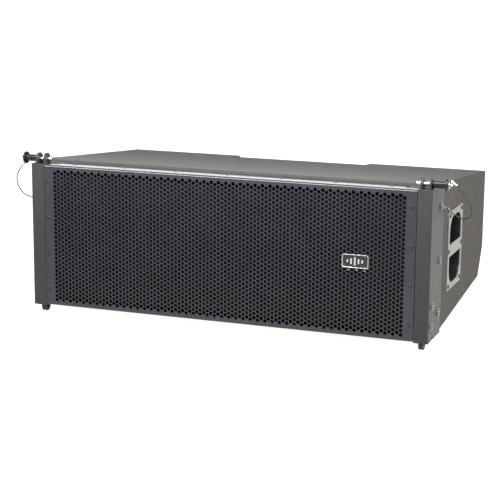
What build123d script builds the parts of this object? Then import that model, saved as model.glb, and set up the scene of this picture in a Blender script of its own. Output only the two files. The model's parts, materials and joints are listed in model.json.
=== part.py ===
from build123d import *
import math
import os

# A two-way line array loudspeaker module with its own rigging.  Millimetres, +Z up, front towards -Y.
# The origin is under the middle of the module, at the height of the two link tongues that it stands on.

# ---------------------------------------------------------------- driving dimensions
overall_width = 800.0        # across the outer faces of the two corner angles
overall_depth = 485.0        # front face of the corner angles to the rear face of the cabinet
angle_height = 282.0         # corner angles, bottom edge to top edge
tongue_drop = 16.0           # how far the link tongues reach below the corner angles
badge_proud = 2.5            # the badge stands this far in front of the grille
wedge_angle = 5.0            # slope of the cabinet's top and of its bottom
cabinet_rise = 7.7           # cabinet above and below the corner angles, measured at the front plane
board = 15.0                 # plywood thickness
baffle_board = 18.0          # baffle thickness
slack = 0.3                  # clearance between pieces that are fitted together
hole_slack = 0.2             # radial clearance of a screw or a bolt in its hole

# rigging
angle_wall = 4.0             # steel of the corner angles
angle_face = 27.0            # width of the angle's front flange
angle_side = 93.0            # depth of the angle's side flange
ear_wall = 4.0               # thickness of each clevis ear
ear_gap = 12.0               # clear gap between the two ears of a clevis
ear_radius = 11.5            # rounded head of an ear
ear_rise = 8.0               # pin axis above the top of the corner angle
tongue_wall = 9.0            # thickness of a link tongue
tongue_radius = 10.0         # rounded foot of a tongue
rig_setback = 20.0           # pin axis behind the front plane
pin_radius = 4.0             # quick-release pin shank
running_gap = 0.1            # radial clearance of a pin in its bores

# grille
grille_sheet = 1.5
grille_bend = 5.0            # outside bend radius of the folded edges
grille_flange = 46.0         # depth of the folded top and bottom flanges
grille_gap = 1.0             # seam between the grille and each corner angle
grille_inset = 1.0           # grille edge inside the corner angle's top and bottom

# rear
recess_half = 149.0          # half width of the rear centre recess
recess_depth = 47.0
chamfer_depth = 36.0         # lower rear chamfer, measured along the depth
chamfer_top = 90.0           # upper edge of the chamfer above the corner angle's bottom edge

# drivers
woofer_offset = 228.0        # woofer axis from the centre plane
basket_radius = 127.0
baffle_setback = 40.0        # baffle's front face behind the front plane

# handles
handle_width = 117.0
handle_height = 153.0
handle_setback = 209.0       # handle's centre behind the front plane
handle_sheet = 2.0
cup_width = 96.0
cup_height = 130.0
cup_depth = 52.0
grip_bar = 23.0              # height of the bar between the two finger openings

# ---------------------------------------------------------------- derived places
front = -(overall_depth - badge_proud) / 2    # Y of the corner angles' front faces
rear = front + overall_depth
base = tongue_drop                            # Z of the corner angles' bottom edges
middle = base + angle_height / 2              # Z of the module's horizontal mid plane
half_width = overall_width / 2
cabinet_half = half_width - angle_wall        # the angles lie on the cabinet's sides
inner_half = cabinet_half - board
slope = math.tan(math.radians(wedge_angle))
board_rise = board / math.cos(math.radians(wedge_angle))
half_front = angle_height / 2 + cabinet_rise
baffle_front = front + baffle_setback
baffle_back = baffle_front + baffle_board
recess_floor = rear - recess_depth
pin_y = front + rig_setback
pin_z = base + angle_height + ear_rise
pin_bore = pin_radius + running_gap
clevis_x = half_width - angle_wall - 1.5 - ear_wall - ear_gap / 2
ear_low = base + angle_height - 90.0
tongue_z = base - tongue_drop + tongue_radius
handle_y = front + handle_setback
handle_z = middle - 1.0


def top(y):
    """Height of the cabinet's top face at depth y."""
    return middle + half_front - (y - front) * slope


def bottom(y):
    """Height of the cabinet's bottom face at depth y."""
    return middle - half_front + (y - front) * slope


def crossing(a, b, c, d):
    """Where the line through a and b meets the line through c and d, as (y, z)."""
    ux, uy = b[0] - a[0], b[1] - a[1]
    vx, vy = d[0] - c[0], d[1] - c[1]
    t = ((c[0] - a[0]) * vy - (c[1] - a[1]) * vx) / (ux * vy - uy * vx)
    return (a[0] + t * ux, a[1] + t * uy)


def across(x):
    """The upright plane at x whose sketch axes are the row's Y and Z."""
    return Plane.YZ.offset(x)


def facing_back(x, y, z):
    """A plane at (x, y, z) facing +Y, with its sketch X along the row's X and sketch Y down."""
    return Plane((x, y, z), x_dir=(1, 0, 0), z_dir=(0, 1, 0))


def along_x(y, z):
    """A plane through (0, y, z) whose sketch axes are the row's X and Z."""
    return Plane((0, y, z), x_dir=(1, 0, 0), z_dir=(0, -1, 0))


def save(piece, name):
    piece.part.label = name
    export_step(piece.part, f"parts/{name}.step")


os.makedirs("parts", exist_ok=True)
sides = (("left", -1), ("right", 1))

# ---------------------------------------------------------------- cabinet shell
rebate = base + angle_height - grille_inset - grille_sheet - middle   # half height under the grille flanges
rebate_back = front + grille_flange + 2.0
shell_front = front + grille_bend + slack
corner_pocket = angle_wall + 2 * rig_setback - 8.0     # depth of the pockets that take the rigging
chamfer_low = (rear - chamfer_depth, bottom(rear - chamfer_depth))
chamfer_high = (rear, base + chamfer_top)
floor_line = ((front, bottom(front) + board_rise), (rear, bottom(rear) + board_rise))
chamfer_foot = crossing(chamfer_low, chamfer_high, *floor_line)

with BuildPart() as cabinet_top:
    with BuildSketch(across(-cabinet_half)):
        Polygon((shell_front, top(shell_front) - board_rise), (rear, top(rear) - board_rise),
                (rear, top(rear)), (rebate_back, top(rebate_back)), (rebate_back, middle + rebate),
                (shell_front, middle + rebate), align=None)
    extrude(amount=2 * cabinet_half)
    with Locations((0, rear, top(rear))):
        Box(2 * recess_half, 2 * recess_depth, 4 * board, mode=Mode.SUBTRACT)
    for _, side in sides:
        with Locations((side * half_width, front, middle + half_front)):
            Box(2 * (angle_face + 2), 2 * corner_pocket, 6 * board, mode=Mode.SUBTRACT)
save(cabinet_top, "cabinet_top")

with BuildPart() as cabinet_bottom:
    with BuildSketch(across(-cabinet_half)):
        Polygon((shell_front, bottom(shell_front) + board_rise), chamfer_foot, chamfer_low,
                (rebate_back, bottom(rebate_back)), (rebate_back, middle - rebate),
                (shell_front, middle - rebate), align=None)
    extrude(amount=2 * cabinet_half)
    with Locations((0, rear, bottom(rear))):
        Box(2 * recess_half, 2 * recess_depth, 8 * board, mode=Mode.SUBTRACT)
    for _, side in sides:
        with Locations((side * half_width, front, middle - half_front)):
            Box(2 * (angle_face + 2), 2 * corner_pocket, 6 * board, mode=Mode.SUBTRACT)
save(cabinet_bottom, "cabinet_bottom")

side_screws = [(front + 70.0, base + z) for z in (43.0, 141.0, 241.0)]
link_bolts = [(front + 21.0, base + z) for z in (29.0, 65.0)]
ear_bolts = [(front + 20.0, base + z) for z in (210.0, 246.0)]
screw_radius = 3.0
bolt_radius = 4.0
side_front = front + corner_pocket
cup_wall = 1.5
cup_corner = 30.0
handle_screw_radius = 2.0
handle_screws_at = [(along * (handle_width / 2 - inset), level * (handle_height / 2 - 8.0))
                    for level, inset in ((1, 10.0), (0, 5.2), (-1, 10.0)) for along in (-1, 1)]

for name, side in sides:
    with BuildPart() as cabinet_side:
        with BuildSketch(across(side * inner_half)):
            Polygon((side_front, bottom(side_front) + board_rise), chamfer_foot, chamfer_high,
                    (rear, top(rear) - board_rise), (side_front, top(side_front) - board_rise), align=None)
        extrude(amount=side * board)
        with BuildSketch(across(side * inner_half)):
            with Locations((handle_y, handle_z)):
                RectangleRounded(cup_width + 2 * (cup_wall + slack), cup_height + 2 * (cup_wall + slack),
                                 cup_corner + cup_wall + slack)
        extrude(amount=side * board, mode=Mode.SUBTRACT)
        with BuildSketch(across(side * cabinet_half)):
            with Locations(*side_screws):
                Circle(screw_radius + hole_slack)
        extrude(amount=-side * (board - 2.0), mode=Mode.SUBTRACT)
        with BuildSketch(across(side * cabinet_half)):
            with Locations(*[(handle_y + dy, handle_z + dz) for dy, dz in handle_screws_at]):
                Circle(handle_screw_radius + hole_slack)
        extrude(amount=-side * 12.0, mode=Mode.SUBTRACT)
    save(cabinet_side, f"cabinet_{name}_side")

# The rear boards stand inside the sides: an upright board and the sloping chamfer board below it.
rise_angle = math.atan2(chamfer_high[1] - chamfer_foot[1], chamfer_high[0] - chamfer_foot[0])
inner_knee = (rear - board, chamfer_high[1] + board * math.tan((math.pi / 2 - rise_angle) / 2))
inner_slide = (inner_knee[0] - 10 * math.cos(rise_angle), inner_knee[1] - 10 * math.sin(rise_angle))
inner_foot = crossing(inner_knee, inner_slide, *floor_line)
cheek_half = recess_half + board

with BuildPart() as rear_boards:
    for _, side in sides:
        with BuildSketch(across(side * cheek_half)):
            Polygon(chamfer_foot, chamfer_high, (rear, top(rear) - board_rise),
                    (rear - board, top(rear - board) - board_rise), inner_knee, inner_foot, align=None)
        extrude(amount=side * (inner_half - cheek_half))
save(rear_boards, "rear_boards")

socket_places = ((-108.0, base + 140.0), (-62.0, base + 140.0))
socket_hole = 12.5

with BuildPart() as recess_boards:
    for _, side in sides:
        with BuildSketch(across(side * recess_half)):
            Polygon((recess_floor - board, bottom(recess_floor - board) + board_rise), chamfer_foot, chamfer_high,
                    (rear, top(rear) - board_rise),
                    (recess_floor - board, top(recess_floor - board) - board_rise), align=None)
        extrude(amount=side * board)
    with BuildSketch(across(-recess_half)):
        Polygon((recess_floor - board, bottom(recess_floor - board) + board_rise),
                (recess_floor, bottom(recess_floor) + board_rise),
                (recess_floor, top(recess_floor) - board_rise),
                (recess_floor - board, top(recess_floor - board) - board_rise), align=None)
    extrude(amount=2 * recess_half)
    for x, z in socket_places:
        with BuildSketch(facing_back(x, recess_floor - board, z)):
            Circle(socket_hole + 1.0)
        extrude(amount=board, mode=Mode.SUBTRACT)
save(recess_boards, "recess_boards")

# ---------------------------------------------------------------- baffle, braces and front rails
horn_half_width = 90.0
horn_half_height = 116.0
woofer_cutout = basket_radius - 11.5

with BuildPart() as baffle:
    with BuildSketch(across(-inner_half)):
        Polygon((baffle_front, bottom(baffle_front) + board_rise), (baffle_back, bottom(baffle_back) + board_rise),
                (baffle_back, top(baffle_back) - board_rise), (baffle_front, top(baffle_front) - board_rise),
                align=None)
    extrude(amount=2 * inner_half)
    for _, side in sides:
        with BuildSketch(facing_back(side * woofer_offset, baffle_front, middle)):
            Circle(woofer_cutout)
            with PolarLocations(basket_radius - 6.0, 8, start_angle=22.5):
                Circle(2.5 + hole_slack)
        extrude(amount=baffle_board, mode=Mode.SUBTRACT)
    with BuildSketch(facing_back(0, baffle_front, middle)):
        Rectangle(2 * (horn_half_width + slack), 2 * (horn_half_height + slack))
    extrude(amount=baffle_board, mode=Mode.SUBTRACT)
save(baffle, "baffle")

brace_half = 97.0
rail_half = half_width - angle_face - grille_gap    # outer face of the rails, level with the grille's edge
rail_width = 15.0
side_screw_x = rail_half - rail_width / 2
side_screw_z = [base + z for z in (33.0, 105.0, 177.0, 249.0)]
grille_screw_radius = 1.8
rail_front = front + grille_sheet

with BuildPart() as cabinet_braces:
    for _, side in sides:
        with BuildSketch(across(side * brace_half)):
            Polygon((baffle_back, bottom(baffle_back) + board_rise),
                    (recess_floor - board, bottom(recess_floor - board) + board_rise),
                    (recess_floor - board, top(recess_floor - board) - board_rise),
                    (baffle_back, top(baffle_back) - board_rise), align=None)
            with Locations((baffle_back + 190.0, middle)):
                RectangleRounded(180.0, 110.0, 25.0, mode=Mode.SUBTRACT)
        extrude(amount=side * board)
    for _, side in sides:
        with BuildSketch(Plane.XY.offset(bottom(baffle_front) + board_rise)):
            with Locations((side * (rail_half - rail_width / 2), (rail_front + baffle_front) / 2)):
                Rectangle(rail_width, baffle_front - rail_front)
        extrude(amount=top(baffle_front) - bottom(baffle_front) - 2 * board_rise)
    for _, side in sides:
        for z in side_screw_z:
            with BuildSketch(facing_back(side * side_screw_x, rail_front, z)):
                Circle(grille_screw_radius + hole_slack)
            extrude(amount=12.0, mode=Mode.SUBTRACT)
save(cabinet_braces, "cabinet_braces")

# ---------------------------------------------------------------- grille
grille_half = rail_half
grille_low = base + grille_inset
grille_high = base + angle_height - grille_inset
flange_half = grille_half - 20.0
flange_screw_y = front + 28.0
flange_screw_x = [-318.0, -212.0, -106.0, 0.0, 106.0, 212.0, 318.0]

with BuildPart() as grille:
    with BuildSketch(across(-grille_half)):
        with BuildLine():
            flange_end = front + grille_flange
            inner_low, inner_high = grille_low + grille_sheet, grille_high - grille_sheet
            FilletPolyline((flange_end, grille_low), (front, grille_low), (front, grille_high),
                           (flange_end, grille_high), radius=grille_bend)
            Line((flange_end, grille_high), (flange_end, inner_high))
            FilletPolyline((flange_end, inner_high), (front + grille_sheet, inner_high),
                           (front + grille_sheet, inner_low), (flange_end, inner_low),
                           radius=grille_bend - grille_sheet)
            Line((flange_end, inner_low), (flange_end, grille_low))
        make_face()
    extrude(amount=2 * grille_half)
    for _, side in sides:
        with Locations((side * grille_half, front + 14.0 + grille_flange, middle)):
            Box(2 * (grille_half - flange_half), 2 * grille_flange, 2 * angle_height, mode=Mode.SUBTRACT)
        for z in side_screw_z:
            with BuildSketch(facing_back(side * side_screw_x, front, z)):
                Circle(grille_screw_radius + hole_slack)
            extrude(amount=grille_sheet, mode=Mode.SUBTRACT)
    for x in flange_screw_x:
        with BuildSketch(Plane((x, flange_screw_y, grille_low))):
            Circle(grille_screw_radius + hole_slack)
        extrude(amount=2 * angle_height, mode=Mode.SUBTRACT)
save(grille, "grille")

foam_half = rail_half - rail_width - slack
with BuildPart() as grille_foam:
    with BuildSketch(facing_back(0, front + grille_bend + slack, middle)):
        Rectangle(2 * foam_half, 2 * (rebate - grille_sheet - board))
    extrude(amount=5.0)
save(grille_foam, "grille_foam")


def screw(plane, head_radius, head_height, shank_radius, shank_length):
    """A pan-head screw whose head stands on the plane and whose shank goes through it."""
    with BuildPart() as piece:
        with BuildSketch(plane):
            Circle(head_radius)
        extrude(amount=head_height, taper=18)
        with BuildSketch(plane):
            Circle(shank_radius)
        extrude(amount=-shank_length)
    return piece.part


with BuildPart() as grille_screws:
    for _, side in sides:
        for z in side_screw_z:
            spot = Plane((side * side_screw_x, front, z), x_dir=(1, 0, 0), z_dir=(0, -1, 0))
            add(screw(spot, 3.4, 1.4, grille_screw_radius, 12.0))
    for x in flange_screw_x:
        add(screw(Plane((x, flange_screw_y, grille_high)), 3.4, 1.4, grille_screw_radius, grille_sheet))
        underneath = Plane((x, flange_screw_y, grille_low), x_dir=(1, 0, 0), z_dir=(0, 0, -1))
        add(screw(underneath, 3.4, 1.4, grille_screw_radius, grille_sheet))
save(grille_screws, "grille_screws")

badge_x = 261.0
with BuildPart() as badge:
    with BuildSketch(Plane((badge_x, front, base + 142.5), x_dir=(1, 0, 0), z_dir=(0, -1, 0))):
        RectangleRounded(50.0, 25.0, 3.0)
    extrude(amount=badge_proud)
    fillet(badge.edges().filter_by_position(Axis.Y, front - badge_proud - 0.01, front - badge_proud + 0.01),
           radius=0.8)
save(badge, "badge")

# ---------------------------------------------------------------- corner rigging
notch_width = 9.0
notch_height = 6.0

for name, side in sides:
    with BuildPart() as corner_angle:
        with BuildSketch(Plane.XY.offset(base)):
            Polygon((side * half_width, front), (side * half_width, front + angle_side),
                    (side * (half_width - angle_wall), front + angle_side),
                    (side * (half_width - angle_wall), front + angle_wall),
                    (side * (half_width - angle_face), front + angle_wall),
                    (side * (half_width - angle_face), front), align=None)
        extrude(amount=angle_height)
        outer_corner = corner_angle.edges().filter_by(Axis.Z).sort_by_distance((side * half_width, front, middle))
        fillet(outer_corner[0:1], radius=1.5)
        with BuildSketch(across(side * half_width)):
            with Locations(*side_screws):
                Circle(screw_radius + hole_slack)
            with Locations(*link_bolts):
                Circle(bolt_radius + hole_slack)
            with Locations((front + 33.0, base)):
                Rectangle(notch_width, 2 * notch_height)
        extrude(amount=-side * angle_wall, mode=Mode.SUBTRACT)
    save(corner_angle, f"{name}_corner_angle")

    ear_inner = clevis_x - ear_gap / 2 - ear_wall
    ear_outer = clevis_x + ear_gap / 2
    with BuildPart() as ear_plates:
        for x in (ear_inner, ear_outer):
            with BuildSketch(across(side * x)):
                with Locations((pin_y, (ear_low + pin_z) / 2)):
                    Rectangle(2 * ear_radius, pin_z - ear_low)
                with Locations((pin_y, pin_z)):
                    Circle(ear_radius)
                    Circle(pin_bore, mode=Mode.SUBTRACT)
                with Locations(*ear_bolts):
                    Circle(bolt_radius + hole_slack, mode=Mode.SUBTRACT)
            extrude(amount=side * ear_wall)
    save(ear_plates, f"{name}_ear_plates")

    with BuildPart() as link_tongue:
        with BuildSketch(across(side * (clevis_x - tongue_wall / 2))):
            with Locations((pin_y, tongue_z + 48.0)):
                Rectangle(2 * tongue_radius, 96.0)
            with Locations((pin_y, tongue_z)):
                Circle(tongue_radius)
                Circle(pin_bore, mode=Mode.SUBTRACT)
            with Locations(*link_bolts):
                Circle(bolt_radius + hole_slack, mode=Mode.SUBTRACT)
        extrude(amount=side * tongue_wall)
    save(link_tongue, f"{name}_link_tongue")

# Steel blocks fill the corner pockets: one between the ears of each clevis, and two beside each tongue.
clevis_floor = pin_z - tongue_radius - 3.0
block_inner = half_width - angle_face + 0.5
with BuildPart() as rigging_blocks:
    for _, side in sides:
        with BuildSketch(across(side * (clevis_x - ear_gap / 2))):
            with Locations((pin_y, (ear_low + clevis_floor) / 2)):
                Rectangle(2 * ear_radius, clevis_floor - ear_low)
            with Locations(*ear_bolts):
                Circle(bolt_radius + hole_slack, mode=Mode.SUBTRACT)
        extrude(amount=side * ear_gap)
    for _, side in sides:
        for x, width in ((block_inner, clevis_x - tongue_wall / 2 - block_inner),
                         (clevis_x + tongue_wall / 2, cabinet_half - clevis_x - tongue_wall / 2)):
            with BuildSketch(across(side * x)):
                with Locations((pin_y, base + 46.0)):
                    Rectangle(2 * ear_radius, 86.0)
                with Locations(*link_bolts):
                    Circle(bolt_radius + hole_slack, mode=Mode.SUBTRACT)
            extrude(amount=side * width)
save(rigging_blocks, "rigging_blocks")

with BuildPart() as rigging_fasteners:
    for _, side in sides:
        for y, z in side_screws:
            spot = Plane((side * half_width, y, z), x_dir=(0, 1, 0), z_dir=(side, 0, 0))
            add(screw(spot, 7.5, 3.0, screw_radius, angle_wall + board - 4.0))
        for y, z in link_bolts:
            spot = Plane((side * half_width, y, z), x_dir=(0, 1, 0), z_dir=(side, 0, 0))
            add(screw(spot, 7.5, 3.5, bolt_radius, half_width - block_inner - 1.0))
        for y, z in ear_bolts:
            spot = Plane((side * (clevis_x + ear_gap / 2 + ear_wall), y, z), x_dir=(0, 1, 0), z_dir=(side, 0, 0))
            add(screw(spot, 6.0, 1.2, bolt_radius, ear_gap + 2 * ear_wall))
save(rigging_fasteners, "rigging_fasteners")


# ---------------------------------------------------------------- quick-release pins
def revolved_x(points, y, z):
    """A solid turned about the line along X through (y, z), from its (x, radius) outline."""
    with BuildPart() as piece:
        with BuildSketch(along_x(y, z)):
            Polygon(*points, align=None)
        revolve(axis=Axis((0, y, z), (1, 0, 0)))
    return piece.part


barrel_length = 25.5
barrel_radius = 6.7
disc_radius = 11.75
disc_wall = 3.5
hub_radius = 4.0
hub_length = 3.6
button_radius = 2.6
button_bore = button_radius + running_gap
button_proud = 3.6
button_travel = 2.5
lock_ball = 1.7
ball_proud = 0.05            # the locking balls are drawn in, as when the button is pressed
ball_setback = 6.0           # locking balls from the tip of the shank
barrel_bore = 17.0           # depth of the shank's seat in the barrel
tip_overhang = 10.0          # shank beyond the inner ear


def pin_pieces(name, side, start, reach, y, z):
    """A pin along X: its barrel stands on the face at x = start and its shank reaches inwards to x = reach."""
    seat = start + barrel_bore
    disc = start + barrel_length
    hub = disc + disc_wall
    with BuildPart() as shank:
        add(revolved_x([(side * reach, 0), (side * reach, pin_radius - 1.4), (side * (reach + 1.4), pin_radius),
                        (side * seat, pin_radius), (side * seat, 0)], y, z))
        for lift in (-1, 1):
            with Locations((side * (reach + ball_setback), y, z + lift * (pin_radius + ball_proud - lock_ball))):
                Sphere(lock_ball)
    save(shank, f"{name}_shank")
    with BuildPart() as handle:
        add(revolved_x([(side * (start + slack), pin_radius), (side * (start + slack), barrel_radius - 1),
                        (side * (start + slack + 1), barrel_radius), (side * disc, barrel_radius),
                        (side * disc, disc_radius), (side * (hub - 0.8), disc_radius),
                        (side * hub, disc_radius - 0.8), (side * hub, hub_radius),
                        (side * (hub + hub_length), hub_radius), (side * (hub + hub_length), button_bore),
                        (side * seat, button_bore), (side * seat, pin_radius)], y, z))
    save(handle, f"{name}_handle")
    cap = hub + hub_length + button_proud
    with BuildPart() as button:
        add(revolved_x([(side * (seat + button_travel + 1), 0), (side * (seat + button_travel + 1), button_radius),
                        (side * (cap - 0.8), button_radius), (side * cap, button_radius - 0.8), (side * cap, 0)],
                       y, z))
    save(button, f"{name}_button")
    return hub


def rod(begin, end, radius):
    """A round rod from one point to another."""
    start, finish = Vector(*begin), Vector(*end)
    with BuildPart() as piece:
        with BuildSketch(Plane(start, z_dir=finish - start)):
            Circle(radius)
        extrude(amount=(finish - start).length)
    return piece.part


wire_radius = 1.0
eye_radius = 5.3
eye_wire = 1.1
ferrule_radius = 2.3
ferrule_length = 9.0

# Each wire lanyard runs from the ferrule at its pin's eye to the ferrule on its corner angle's rear edge.
wire_routes = {
    "left": [(-430.5, -218.8, 291.0), (-445.0, -211.2, 278.0), (-456.5, -201.2, 260.0), (-460.0, -187.2, 238.5),
             (-454.5, -170.8, 220.5), (-440.0, -156.2, 213.5), (-424.0, -143.2, 217.5), (-412.0, -134.2, 229.0),
             (-408.5, -133.2, 242.0)],
    "right": [(436.0, -213.2, 305.0), (447.0, -202.8, 289.0), (455.5, -185.8, 268.0), (457.5, -166.8, 251.5),
              (450.0, -149.2, 236.5), (433.0, -136.2, 229.5), (418.0, -130.2, 235.5), (408.5, -133.2, 242.0)],
}
eye_points = {"left": (-425.8, -221.0, 299.6), "right": (427.0, -219.0, 313.0)}
# The way each wire runs on into the ferrule at its far end.
anchor_headings = {"left": (0.30, -0.49, 0.82), "right": (-0.59, -0.19, 0.78)}


def arc_radii(points):
    """For each inner point, the largest arc that its two straight runs leave room for."""
    radii = []
    for before, here, after in zip(points, points[1:], points[2:]):
        into, out = Vector(*here) - Vector(*before), Vector(*after) - Vector(*here)
        half_turn = math.radians(into.get_angle(out)) / 2
        radii.append(0.45 * min(into.length, out.length) / math.tan(half_turn))
    return radii


for name, side in sides:
    ear_face = clevis_x + ear_gap / 2 + ear_wall
    hub_x = pin_pieces(f"{name}_pin", side, ear_face, clevis_x - ear_gap / 2 - ear_wall - tip_overhang, pin_y, pin_z)

    eye_x = hub_x + hub_length / 2
    route = wire_routes[name]
    with BuildPart() as wire_eye:
        with BuildSketch(along_x(pin_y, pin_z)):
            with Locations((side * eye_x, eye_radius)):
                Circle(eye_wire)
        revolve(axis=Axis((0, pin_y, pin_z), (1, 0, 0)))
        add(rod(eye_points[name], route[0], ferrule_radius))
    save(wire_eye, f"{name}_pin_eye")

    radii = arc_radii(route)
    print(name, "lanyard arcs", [round(r, 1) for r in radii])
    with BuildPart() as lanyard:
        with BuildLine() as wire_path:
            FilletPolyline(*route, radius=radii)
        begin = Vector(*route[0])
        with BuildSketch(Plane(begin, z_dir=Vector(*route[1]) - begin)):
            Circle(wire_radius)
        sweep(path=wire_path.wires()[0])
    save(lanyard, f"{name}_lanyard")
    path_length = wire_path.wires()[0].length
    print(name, "lanyard length", round(path_length, 1), "volume ratio",
          round(lanyard.part.volume / (math.pi * wire_radius**2 * path_length), 4))

anchor_y = front + angle_side - 7.0
anchor_z = base + 236.0
with BuildPart() as lanyard_anchors:
    for name, side in sides:
        with BuildSketch(across(side * half_width)):
            with Locations((anchor_y, anchor_z)):
                Circle(5.0)
        extrude(amount=side * 3.0)
        heading = Vector(*anchor_headings[name]).normalized()
        ferrule_begin = Vector(*wire_routes[name][-1]) + heading * 3 * slack
        ferrule_end = ferrule_begin + heading * ferrule_length
        add(rod(tuple(ferrule_begin), tuple(ferrule_end), ferrule_radius))
        add(rod(tuple(ferrule_end), (side * (half_width + 2.0), anchor_y, anchor_z), wire_radius))
save(lanyard_anchors, "lanyard_anchors")

# ---------------------------------------------------------------- side handles
opening_height = (cup_height - grip_bar) / 2

for name, side in sides:
    with BuildPart() as handle_plate:
        with BuildSketch(across(side * cabinet_half)):
            with Locations((handle_y, handle_z)):
                RectangleRounded(handle_width, handle_height, 6.0)
                RectangleRounded(cup_width, cup_height, cup_corner, mode=Mode.SUBTRACT)
            with Locations((handle_y, handle_z)):
                Rectangle(handle_width, grip_bar)
            with Locations(*[(handle_y + dy, handle_z + dz) for dy, dz in handle_screws_at]):
                Circle(handle_screw_radius + hole_slack, mode=Mode.SUBTRACT)
        extrude(amount=side * handle_sheet)
        fillet(handle_plate.faces().filter_by(Axis.X).sort_by(Axis.X)[-1 if side > 0 else 0].outer_wire().edges(),
               radius=0.6)
    save(handle_plate, f"{name}_handle_plate")

    with BuildPart() as handle_cup:
        with BuildSketch(across(side * cabinet_half)):
            with Locations((handle_y, handle_z)):
                RectangleRounded(cup_width + 2 * cup_wall, cup_height + 2 * cup_wall, cup_corner + cup_wall)
        extrude(amount=-side * cup_depth)
        with BuildSketch(across(side * cabinet_half)):
            with Locations((handle_y, handle_z)):
                RectangleRounded(cup_width, cup_height, cup_corner)
        extrude(amount=-side * (cup_depth - cup_wall), mode=Mode.SUBTRACT)
    save(handle_cup, f"{name}_handle_cup")

# ---------------------------------------------------------------- woofers
def revolved_y(points, x, z):
    """A solid turned about the line along Y through (x, z), from its (radius, y) outline."""
    with BuildPart() as piece:
        with BuildSketch(Plane((x, 0, z))):
            Polygon(*points, align=None)
        revolve(axis=Axis((x, 0, z), (0, 1, 0)))
    return piece.part


seat_y = baffle_front - 5.0          # front face of the basket's rim
basket_back = baffle_front + 80.0
coil_radius = 25.3
coil_wall = 1.0
roll_radius = 6.0
roll_middle = basket_radius - 27.0
rim_inner = basket_radius - 21.0     # inner edge of the basket's rim, outside the surround's roll
cap_radius = 39.7            # the dust cap is part of a ball of this radius
cap_rim = 31.0


def cap_at(ball, r):
    """Y of a ball's front surface at radius r, for a ball that shares the dust cap's centre."""
    return seat_y + 22.0 + cap_radius - math.sqrt(ball**2 - r**2)


for name, side in sides:
    x = side * woofer_offset
    with BuildPart() as basket:
        add(revolved_y([(rim_inner, seat_y), (basket_radius, seat_y), (basket_radius, baffle_front),
                        (rim_inner + 8, baffle_front), (70, basket_back - 4), (70, basket_back), (31, basket_back),
                        (31, basket_back - 4), (66, basket_back - 4), (72, basket_back - 14),
                        (61, basket_back - 14), (61, basket_back - 17), (73.7, basket_back - 17),
                        (rim_inner + 3, baffle_front), (rim_inner, baffle_front)], x, middle))
        with BuildSketch(facing_back(x, baffle_front + 8.0, middle)):
            with PolarLocations(rim_inner - 8.0, 6):
                Rectangle(44.0, 62.0)
        extrude(amount=40.0, mode=Mode.SUBTRACT)
        with BuildSketch(facing_back(x, seat_y, middle)):
            with PolarLocations(basket_radius - 6.0, 8, start_angle=22.5):
                Circle(2.5 + hole_slack)
        extrude(amount=5.0, mode=Mode.SUBTRACT)
    save(basket, f"{name}_woofer_basket")

    motor_front = basket_back
    gap_radius = coil_radius + coil_wall + 1.2
    pole_radius = coil_radius - 1.0
    with BuildPart() as motor:
        add(revolved_y([(gap_radius, motor_front), (70, motor_front), (70, motor_front + 8),
                        (gap_radius, motor_front + 8)], x, middle))
        add(revolved_y([(40, motor_front + 8), (76, motor_front + 8), (76, motor_front + 26),
                        (40, motor_front + 26)], x, middle))
        add(revolved_y([(0, motor_front), (pole_radius, motor_front), (pole_radius, motor_front + 26),
                        (70, motor_front + 26), (70, motor_front + 33), (0, motor_front + 33)], x, middle))
    save(motor, f"{name}_woofer_motor")

    with BuildPart() as cone:
        with BuildSketch(Plane((x, 0, middle))):
            with BuildLine():
                ThreePointArc((0, cap_at(cap_radius, 0)), (17, cap_at(cap_radius, 17)),
                              (cap_rim, cap_at(cap_radius, cap_rim)))
                Polyline((cap_rim, cap_at(cap_radius, cap_rim)), (roll_middle - roll_radius - 4, seat_y),
                         (roll_middle - roll_radius, seat_y), (roll_middle - roll_radius, seat_y + 1.2),
                         (coil_radius + coil_wall, seat_y + 42), (coil_radius + coil_wall, motor_front + 16),
                         (coil_radius, motor_front + 16), (coil_radius, cap_at(cap_radius - 1.2, coil_radius)))
                ThreePointArc((coil_radius, cap_at(cap_radius - 1.2, coil_radius)),
                              (14, cap_at(cap_radius - 1.2, 14)), (0, cap_at(cap_radius - 1.2, 0)))
                Line((0, cap_at(cap_radius - 1.2, 0)), (0, cap_at(cap_radius, 0)))
            make_face()
        revolve(axis=Axis((x, 0, middle), (0, 1, 0)))
    save(cone, f"{name}_woofer_cone")

    with BuildPart() as surround:
        with BuildSketch(Plane((x, 0, middle))):
            with BuildLine():
                inner, outer_edge = roll_middle - roll_radius, roll_middle + roll_radius
                Line((inner - 4, seat_y), (inner - 4, seat_y - 1))
                Line((inner - 4, seat_y - 1), (inner, seat_y - 1))
                ThreePointArc((inner, seat_y - 1), (roll_middle, seat_y - 1 - roll_radius), (outer_edge, seat_y - 1))
                Line((outer_edge, seat_y - 1), (outer_edge + 6, seat_y - 1))
                Line((outer_edge + 6, seat_y - 1), (outer_edge + 6, seat_y))
                Line((outer_edge + 6, seat_y), (outer_edge - 1, seat_y))
                ThreePointArc((outer_edge - 1, seat_y), (roll_middle, seat_y - roll_radius + 1), (inner + 1, seat_y))
                Line((inner + 1, seat_y), (inner - 4, seat_y))
            make_face()
        revolve(axis=Axis((x, 0, middle), (0, 1, 0)))
    save(surround, f"{name}_woofer_surround")

    with BuildPart() as spider:
        spider_hole = coil_radius + coil_wall + slack
        add(revolved_y([(spider_hole, basket_back - 18), (66, basket_back - 18),
                        (66, basket_back - 17), (spider_hole, basket_back - 17)], x, middle))
    save(spider, f"{name}_woofer_spider")

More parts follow.
